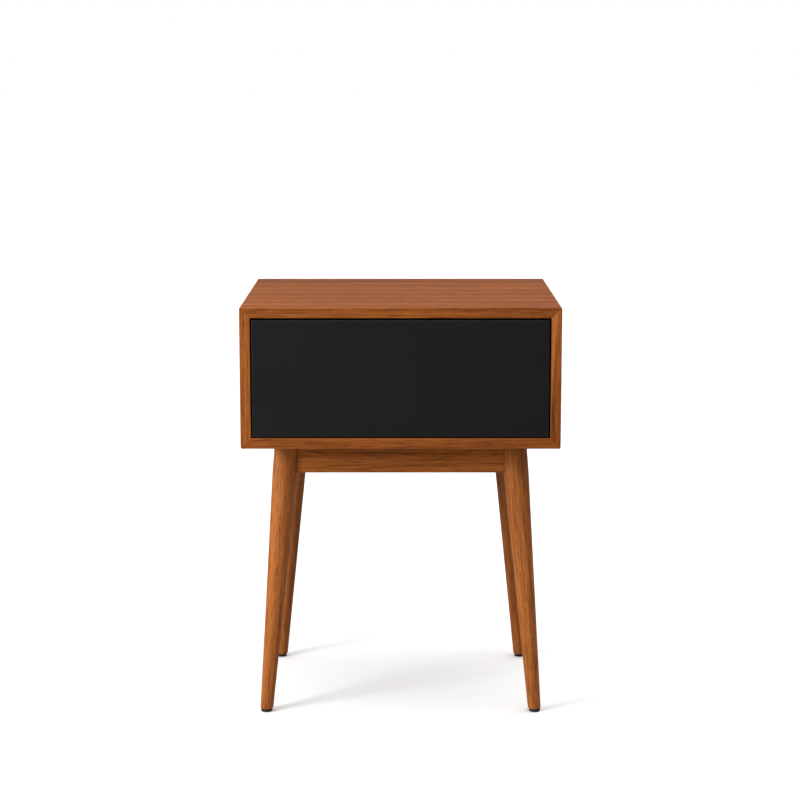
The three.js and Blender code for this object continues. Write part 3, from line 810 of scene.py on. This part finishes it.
def leg_bmesh(foot, top):
    """The leg as level rings round its leaning axis."""
    axis = (top - foot).normalized()
    lean = Vector((axis.x, axis.y, 0)).normalized()
    across = Z_AXIS.cross(lean)
    bottom = GLIDE_THICKNESS
    bm = bmesh.new()
    rings = []
    for height in leg_heights(bottom, top.z - LEG_TOP_GAP):
        centre = foot + (top - foot) * (height / top.z)
        short = max(0.0, bottom + FOOT_ROUNDING - height)
        loss = FOOT_ROUNDING - math.sqrt(FOOT_ROUNDING**2 - short**2)
        radius = leg_radius_at(height) - loss
        ring = []
        for step in range(LEG_SEGMENTS):
            angle = 2 * math.pi * step / LEG_SEGMENTS
            along = lean * (radius / axis.z * math.cos(angle))
            ring.append(bm.verts.new(centre + along + across * (radius * math.sin(angle))))
        rings.append(ring)
    bridge_rings(bm, rings)
    bm.faces.new(reversed(rings[0]))
    bm.faces.new(rings[-1])
    return bm


def build_legs():
    for seed, corner in enumerate(CORNERS, start=LEG_SEED):
        node = "leg_" + corner
        foot, top = leg_axis(corner)
        leg = object_from(leg_bmesh(foot, top), node + "_wood", frame_along(foot, top - foot))
        dress(leg, walnut(node + "_walnut", "Z", seed, **LEG_WOOD))
        stand_for(shade(leg), node)


def long_lower_edges(low, high):
    """A test for the long edges on the underside of an apron."""
    is_long = longer_than((high - low).length * APRON_LONG_SHARE)

    def chosen(edge):
        return edge_at(edge, 2, low.z) and is_long(edge)

    return chosen


def build_aprons():
    for seed, place in enumerate((*ENDS, *SIDES), start=APRON_SEED):
        node = "apron_" + place
        grain = "X" if place in ENDS else "Y"
        wood = walnut(node + "_walnut", grain, seed, **APRON_WOOD)
        chosen = long_lower_edges(*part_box(node))
        rounded_piece(node, "wood", chosen, APRON_RADIUS, wood, segments=4)


def glide_profile(radius, height):
    """A rounded disc with a pointed pin above it."""
    lower, upper = GLIDE_LOWER_ROUNDING, GLIDE_UPPER_ROUNDING
    return [
        (0, 0),
        *arc(lower, radius - lower, lower, -90, 0, steps=8),
        *arc(GLIDE_THICKNESS - upper, radius - upper, upper, 0, 90, steps=3),
        (GLIDE_THICKNESS, GLIDE_PIN_RADIUS),
        (height - GLIDE_PIN_POINT, GLIDE_PIN_RADIUS),
        (height, 0),
    ]


def build_glides():
    black = moulded_plastic("glide_nylon", *BLACK_NYLON, least_roughness=0.35)
    for corner in CORNERS:
        node = "glide_" + corner
        low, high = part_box(node)
        profile = glide_profile((high.x - low.x) / 2, high.z)
        glide = object_from(turned_bmesh(profile, GLIDE_SEGMENTS), node + "_nylon")
        glide.matrix_world = Matrix.Translation(((low.x + high.x) / 2, (low.y + high.y) / 2, 0))
        dress(glide, black)
        stand_for(shade(glide), node)


def build_corner_blocks():
    chosen = longer_than(BLOCK_LONG_EDGE)
    for seed, corner in enumerate(CORNERS, start=BLOCK_SEED):
        node = "corner_block_" + corner
        wood = beech(node + "_beech", "X", seed)
        rounded_piece(node, "wood", chosen, BLOCK_RADIUS, wood)


# ---- Drawer -------------------------------------------------------------------------------

BOX_BOARDS = {  # node: grain, thickness axis, edge radius
    "drawer_box_front": ("X", 1, BOX_EDGE_RADIUS),
    "drawer_box_back": ("X", 1, BOX_EDGE_RADIUS),
    "drawer_box_side_left": ("Y", 0, BOX_EDGE_RADIUS),
    "drawer_box_side_right": ("Y", 0, BOX_EDGE_RADIUS),
    "drawer_box_bottom": ("X", 2, BOX_BOTTOM_RADIUS),
}


def build_drawer():
    node = "drawer_front"
    paint = black_paint("front_black")
    chosen = on_box_edges(*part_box(node))
    rounded_piece(node, "board", chosen, FRONT_RADIUS, paint, segments=4)
    for seed, (node, (grain, axis, radius)) in enumerate(BOX_BOARDS.items(), start=BOX_SEED):
        wood = plywood(node + "_birch", grain, axis, seed)
        rounded_piece(node, "ply", on_box_edges(*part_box(node)), radius, wood)


# ---- Slides -------------------------------------------------------------------------------


def mirrored_outline(upper):
    """Adds the lower half to the upper half of a symmetrical outline."""
    return upper + [(across, -up, radius) for across, up, radius in reversed(upper)]


def lipped_channel(web, rim, half, lip):
    """Outline of a channel whose rims end in lips."""
    return mirrored_outline([
        (web, half, OUTER_BEND),
        (rim, half, OUTER_BEND),
        (rim, half - lip, SHEET_EDGE),
        (rim - STEEL, half - lip, SHEET_EDGE),
        (rim - STEEL, half - STEEL, INNER_BEND),
        (web + STEEL, half - STEEL, INNER_BEND),
    ])


def drawer_channel():
    """Outline of the plain channel on the drawer's side."""
    across, half = DRAWER_MEMBER["across"], DRAWER_MEMBER["half"]
    return mirrored_outline([
        (SLIDE_THICKNESS, half, OUTER_BEND),
        (across, half, SHEET_EDGE),
        (across, half - STEEL, SHEET_EDGE),
        (SLIDE_THICKNESS - STEEL, half - STEEL, INNER_BEND),
    ])


def placed_outline(corners, side):
    """Turns (across, up) corners of a slide's section into places beside the side panel."""
    sign = SIDES[side]
    low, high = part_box(f"slide_case_member_{side}")
    wall = high.x if sign > 0 else low.x
    axis_z = (low.z + high.z) / 2
    return [(wall - sign * across, axis_z + up, radius) for across, up, radius in corners]


def channel(node, corners, side):
    """A length of bent sheet, as long as the CAD node."""
    low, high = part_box(node)
    outline = filleted(placed_outline(corners, side))
    return prism_along_y(outline, low.y, high.y)


def countersink_profile():
    """The cutter for a slide screw's hole: a little wider than the screw and its head."""
    head = SLIDE_SCREW["head"] + COUNTERSINK["clearance"]
    return [
        (-CUT_MARGIN, 0),
        (-CUT_MARGIN, head),
        (COUNTERSINK["rim"], head),
        (COUNTERSINK["cone"], COUNTERSINK["hole"]),
        (COUNTERSINK["depth"], 0),
    ]


def cut_screw_holes(member, direction, screws):
    """Cuts the holes of screws that point in the direction."""
    for node in screws:
        place = screw_place(node, direction, SLIDE_SCREW)[0]
        cutter = object_from(turned_bmesh(countersink_profile(), SCREW_SEGMENTS), "countersink")
        cutter.matrix_world = frame_along(place, direction)
        bpy.context.view_layer.update()
        boolean(member, "DIFFERENCE", cutter)
        discard(cutter)


def cage_outline(size):
    """Outline of the thin channel that holds the balls."""
    top = size["up"] + CAGE_STEEL / 2
    return mirrored_outline([
        (size["web"], top, CAGE_BEND),
        (size["rim"], top, CAGE_EDGE),
        (size["rim"], top - CAGE_STEEL, CAGE_EDGE),
        (size["web"] + CAGE_STEEL, top - CAGE_STEEL, CAGE_EDGE),
    ])


def ball_rows(node, side, size):
    """The balls of a cage: a row in each of its rims."""
    low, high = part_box(node)
    middle = (low.y + high.y) / 2
    rows = placed_outline([(size["across"], row * size["up"], 0) for row in (-1, 1)], side)
    bm = bmesh.new()
    for x, z, _ in rows:
        for index in range(BALLS_PER_ROW):
            y = middle + BALL_PITCH * (index - (BALLS_PER_ROW - 1) / 2)
            bmesh.ops.create_uvsphere(
                bm,
                u_segments=BALL_SEGMENTS,
                v_segments=BALL_RINGS,
                radius=size["ball"],
                matrix=Matrix.Translation((x, y, z)),
            )
    for face in bm.faces:
        face.material_index = 1
    return object_from(bm, "balls")


def build_cage(node, side, size, sheet, polished):
    """A cage's channel joined with its balls."""
    cage = object_from(channel(node, cage_outline(size), side), node + "_steel")
    balls = ball_rows(node, side, size)
    for piece in (cage, balls):
        dress(piece, sheet, polished)
    boolean(cage, "UNION", balls)
    discard(balls)
    stand_for(shade(cage), node)


def build_slides():
    coated = coated_steel("slide_coat")
    sheet = zinc("cage_zinc", (500, 40, 500))
    polished = bearing_steel("ball_steel")
    for side, sign in SIDES.items():
        outwards = X_AXIS * sign
        members = {  # part: outline, direction of its screws
            "case": (lipped_channel(**CASE_MEMBER), outwards),
            "middle": (lipped_channel(**MIDDLE_MEMBER), None),
            "drawer": (drawer_channel(), -outwards),
        }
        for part, (corners, direction) in members.items():
            node = f"slide_{part}_member_{side}"
            member = object_from(channel(node, corners, side), node + "_steel")
            if direction:
                screws = [f"{part}_slide_screw_{side}_{place}" for place in SCREW_PLACES]
                cut_screw_holes(member, direction, screws)
            dress(member, coated)
            stand_for(shade(member), node)
        build_cage(f"outer_ball_cage_{side}", side, OUTER_CAGE, sheet, polished)
        build_cage(f"inner_ball_cage_{side}", side, INNER_CAGE, sheet, polished)


# ---- Screws -------------------------------------------------------------------------------


def screw_place(node, direction, size):
    """Where the screw's head meets the surface, and how far the screw reaches from there."""
    low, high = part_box(node)
    middle = (low + high) / 2
    reach = abs((high - low).dot(direction))
    rise = size["rise"] if size["kind"] == PAN else 0.0
    head_top = middle - direction * (reach / 2)
    return head_top + direction * rise, reach - rise


def head_profile(size):
    """The head of a screw, from its top down to its shank."""
    head, rise = size["head"], size["rise"]
    if size["kind"] == FLAT:
        return [(0.0, 0), (0.0, head * FLAT_TOP_RING), (FLAT_RIM, head), (rise, size["shank"])]
    crown = rise * PAN_CROWN
    return [
        (-rise, 0),
        (-rise, head * PAN_TOP_RING),
        *arc(crown - rise, head - crown, crown, -90, 0, steps=5),
        (0.0, head),
        (0.0, size["shank"]),
    ]


def screw_profile(size, reach):
    """A whole screw: its head, a smooth neck of one pitch, and the thread down to its tip."""
    shank, pitch = size["shank"], size["pitch"]
    profile = head_profile(size)
    neck_end = profile[-1][0] + pitch
    profile.append((neck_end, shank))
    tip_start = reach - SCREW_POINT
    height = neck_end + pitch / THREAD_STEPS
    while height < reach - THREAD_END:
        full = shank if height < tip_start else shank * (reach - height) / SCREW_POINT
        profile.append((height, threaded(full, height / pitch)))
        height += pitch / THREAD_STEPS
    profile.append((reach, 0))
    return profile


def threaded(radius, turns):
    """The radius of a threaded shank at an angle, some turns along the thread."""

    def at(angle):
        phase = (turns - angle / (2 * math.pi)) % 1
        crest = max(0.0, 1 - abs(2 * phase - 1) * THREAD_STEEPNESS)
        return radius * (1 - THREAD_DEPTH + THREAD_DEPTH * crest)

    return at


def cross_recess(size):
    """The cutter for a cross-shaped recess in the head, narrower at its bottom."""
    reach = size["cross"]
    width = reach * CROSS_ARM_WIDTH
    top = -size["rise"] if size["kind"] == PAN else 0.0
    bm = bmesh.new()
    rings = []
    for height, arm in ((top - CUT_MARGIN, reach), (top + CROSS_DEPTH, reach * CROSS_TAPER)):
        ring = []
        for quarter in range(4):
            turn = Matrix.Rotation(math.pi / 2 * quarter, 3, "Z")
            for x, y in ((arm, -width), (arm, width), (width, width)):
                ring.append(bm.verts.new(turn @ Vector((x, y, height))))
        rings.append(ring)
    bridge_rings(bm, rings)
    for ring in rings:
        bm.faces.new(ring)
    return object_from(bm, "recess")


def build_screw(node, direction, size, material):
    place, reach = screw_place(node, direction, size)
    screw = object_from(turned_bmesh(screw_profile(size, reach), SCREW_SEGMENTS), node + "_steel")
    cutter = cross_recess(size)
    boolean(screw, "DIFFERENCE", cutter)
    discard(cutter)
    screw.matrix_world = frame_along(place, direction)
    dress(screw, material)
    stand_for(shade(screw), node)


def build_screws():
    steel = zinc("screw_zinc", 260)
    for side, sign in SIDES.items():
        outwards = X_AXIS * sign
        for end in ENDS:
            build_screw(f"base_screw_{end}_{side}", Z_AXIS, BASE_SCREW, steel)
        for level in ("lower", "upper"):
            build_screw(f"front_screw_{level}_{side}", -Y_AXIS, FRONT_SCREW, steel)
        for place in SCREW_PLACES:
            build_screw(f"case_slide_screw_{side}_{place}", outwards, SLIDE_SCREW, steel)
            build_screw(f"drawer_slide_screw_{side}_{place}", -outwards, SLIDE_SCREW, steel)
        build_screw(f"latch_screw_{side}", Z_AXIS, LATCH_SCREW, steel)


# ---- Latch --------------------------------------------------------------------------------


def build_turned(node, profile_of, material, suffix):
    """A piece turned about its own axis, which points along -Y from the rear of the node's box."""
    low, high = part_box(node)
    rear = Vector(((low.x + high.x) / 2, high.y, (low.z + high.z) / 2))
    profile = profile_of((high.z - low.z) / 2, high.y - low.y)
    piece = object_from(turned_bmesh(profile, LATHE_SEGMENTS), f"{node}_{suffix}")
    piece.matrix_world = frame_along(rear, -Y_AXIS)
    dress(piece, material)
    stand_for(shade(piece), node)


def plunger_profile(radius, length):
    """A rod with a softly rounded tip."""
    rear, tip = PLUNGER_REAR_ROUNDING, PLUNGER_ROUNDING
    return [
        (0, 0),
        *arc(rear, radius - rear, rear, -90, 0, steps=2),
        *arc(length - tip, radius - tip, tip, 0, 90, steps=6),
        (length, 0),
    ]


def strike_profile(radius, length):
    """A thin disc with a pin that holds it in the back of the drawer front."""
    edge = STRIKE_ROUNDING
    return [
        (0, 0),
        *arc(edge, radius - edge, edge, -90, 0, steps=4),
        (STRIKE_THICKNESS, radius),
        (STRIKE_THICKNESS, STRIKE_PIN_RADIUS),
        (length, STRIKE_PIN_RADIUS),
        (length, 0),
    ]


def housing_edges(low, high):
    """A test for the housing's outer edges and all the edges of its underside."""
    is_outer = on_box_edges(low, high)

    def chosen(edge):
        return is_outer(edge) or edge_at(edge, 2, low.z)

    return chosen


def build_latch():
    grey = moulded_plastic("latch_nylon", *GREY_NYLON, least_roughness=0.4)
    steel = zinc("strike_zinc", 260)
    chosen = housing_edges(*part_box("latch_housing"))
    rounded_piece("latch_housing", "nylon", chosen, HOUSING_RADIUS, grey)
    build_turned("latch_plunger", plunger_profile, grey, "nylon")
    build_turned("strike_plate", strike_profile, steel, "steel")


# ---- Stage --------------------------------------------------------------------------------


def key_direction():
    """From the object towards the key light."""
    azimuth = math.radians(KEY_AZIMUTH_DEG)
    elevation = math.radians(KEY_ELEVATION_DEG)
    level = math.cos(elevation)
    return Vector((-math.sin(azimuth) * level, -math.cos(azimuth) * level, math.sin(elevation)))


def build_floor():
    """A plain floor that looks white, and that sends less light back than a white one would."""
    bpy.ops.mesh.primitive_circle_add(
        vertices=FLOOR_SEGMENTS, radius=FLOOR_RADIUS, fill_type="NGON"
    )
    floor = bpy.context.object
    floor.name = "floor"
    sky_on_floor = SKY_LEVEL * 2 / (SKY_POWER + 2)
    seen_grey = FLOOR_SEEN_LEVEL / sky_on_floor
    material, tree = new_material("floor_paper")
    seen = add(tree, "ShaderNodeLightPath").outputs["Is Camera Ray"]
    colour = blend_colours(tree, seen, (FLOOR_BOUNCE,) * 3, (seen_grey,) * 3)
    diffuse = add(tree, "ShaderNodeBsdfDiffuse", {"Color": colour})
    add(tree, "ShaderNodeOutputMaterial", {"Surface": diffuse.outputs[0]})
    dress(floor, material)


def build_key():
    """A soft round light to the left of the front, a little above the case."""
    light = bpy.data.lights.new("key", "AREA")
    light.shape = "DISK"
    light.size = KEY_SIZE
    # A white surface that faces a disk light shows its energy / (pi * distance) ** 2.
    light.energy = KEY_LEVEL * (math.pi * KEY_DISTANCE) ** 2
    key = bpy.data.objects.new("key", light)
    key.visible_camera = False
    bpy.context.scene.collection.objects.link(key)
    case_low, case_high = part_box("bottom_panel")[0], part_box("top_panel")[1]
    front_middle = Vector((0, case_low.y, (case_low.z + case_high.z) / 2))
    key.location = front_middle + key_direction() * KEY_DISTANCE
    key.rotation_mode = "QUATERNION"
    key.rotation_quaternion = (-key_direction()).to_track_quat("-Z", "Y")


def build_sky():
    """A sky that is brightest overhead, behind a plain white backdrop."""
    world = bpy.data.worlds.new("studio")
    bpy.context.scene.world = world
    world.use_nodes = True
    tree = world.node_tree
    tree.nodes.clear()
    direction = add(tree, "ShaderNodeTexCoord").outputs["Generated"]
    up = add(tree, "ShaderNodeSeparateXYZ", {0: direction}).outputs[2]
    up = add(tree, "ShaderNodeClamp", {"Value": up}).outputs[0]
    sky = calculate(tree, "MULTIPLY", calculate(tree, "POWER", up, SKY_POWER), SKY_LEVEL)
    seen = add(tree, "ShaderNodeLightPath").outputs["Is Camera Ray"]
    colour = blend_colours(tree, seen, sky, (BACKDROP_LEVEL,) * 3)
    background = add(tree, "ShaderNodeBackground", {"Color": colour})
    add(tree, "ShaderNodeOutputWorld", {"Surface": background.outputs[0]})


def build_camera():
    data = bpy.data.cameras.new("camera")
    data.lens = CAMERA_LENS
    data.sensor_width = CAMERA_SENSOR
    camera = bpy.data.objects.new("camera", data)
    bpy.context.scene.collection.objects.link(camera)
    camera.location = (CAMERA_OFFSET, -CAMERA_DISTANCE, CAMERA_HEIGHT)
    camera.rotation_euler = (math.radians(90 - CAMERA_PITCH_DEG), 0, 0)
    bpy.context.scene.camera = camera
    bpy.context.scene.view_settings.view_transform = "Standard"


build_camera()
build_key()
build_sky()
build_floor()
build_case()
build_legs()
build_aprons()
build_glides()
build_corner_blocks()
build_drawer()
build_slides()
build_screws()
build_latch()
